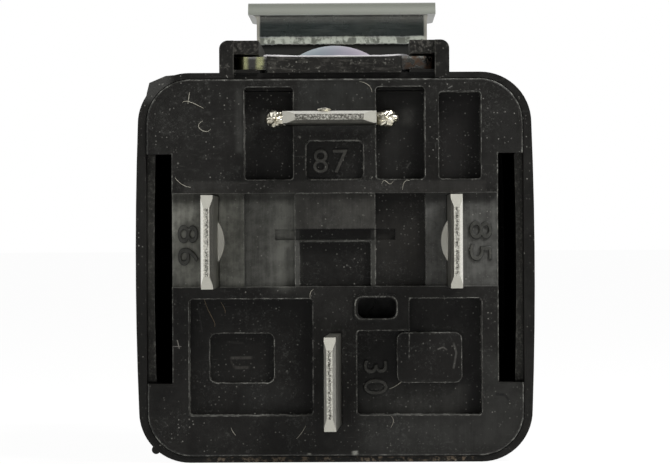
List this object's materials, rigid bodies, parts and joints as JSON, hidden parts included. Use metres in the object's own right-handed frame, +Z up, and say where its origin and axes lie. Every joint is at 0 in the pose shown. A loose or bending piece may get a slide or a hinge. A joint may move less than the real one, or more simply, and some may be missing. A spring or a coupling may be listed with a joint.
{
  "type": "automotive relay",
  "caption": "Plug-in automotive relay: black moulded cover, base with flat tinned blades, internal coil, hinged armature and contacts, and a steel mounting bracket.",
  "frame": {"origin": "middle of the flat side of the cover that the relay lies on", "axes": "+Z up from the resting side to the bracket, -Y the way the blades point, +X right seen from the blades"},
  "size_m": [0.0278, 0.0483, 0.0331],
  "materials": {
    "cover": "black moulded plastic, fine grain",
    "base": "black moulded plastic, scuffed",
    "bracket": "zinc plated, light rust at a corner",
    "blades": "tin plated",
    "bobbin": "black moulded plastic",
    "copper": "enamelled copper wire",
    "tape": "thin wrap",
    "iron": "nickel plated soft iron",
    "bronze": "rolled spring bronze",
    "silver": "silver alloy"
  },
  "bodies": {
    "housing": {"cover": "cover", "base": "base", "terminal_86": "blades", "terminal_85": "blades", "terminal_87": "blades", "terminal_30": "blades", "bobbin": "bobbin", "coil_winding": "copper", "coil_tape": "tape", "core": "iron", "yoke": "iron", "return_spring": "bronze", "fixed_contact": "silver", "yoke_rivets": "iron", "back_stop": "blades", "coil_lead_85": "copper", "coil_lead_86": "copper"},
    "armature": {"armature": "iron", "contact_spring": "bronze", "moving_contact": "silver", "spring_rivets": "iron"},
    "bracket": {"bracket": "bracket"}
  },
  "joints": [
    {"name": "armature_pivot", "type": "hinge", "parent": "housing", "child": "armature", "pos_m": [0, 0.0062, 0.0032], "axis": [1, 0, 0], "range_deg": [0, 3.02], "stiffness_Nm_per_rad": 0.05, "springref_deg": -1.72},
    {"name": "bracket_slide", "type": "slide", "parent": "housing", "child": "bracket", "axis": [0, 1, 0], "range_m": [0, 0.018]}
  ]
}
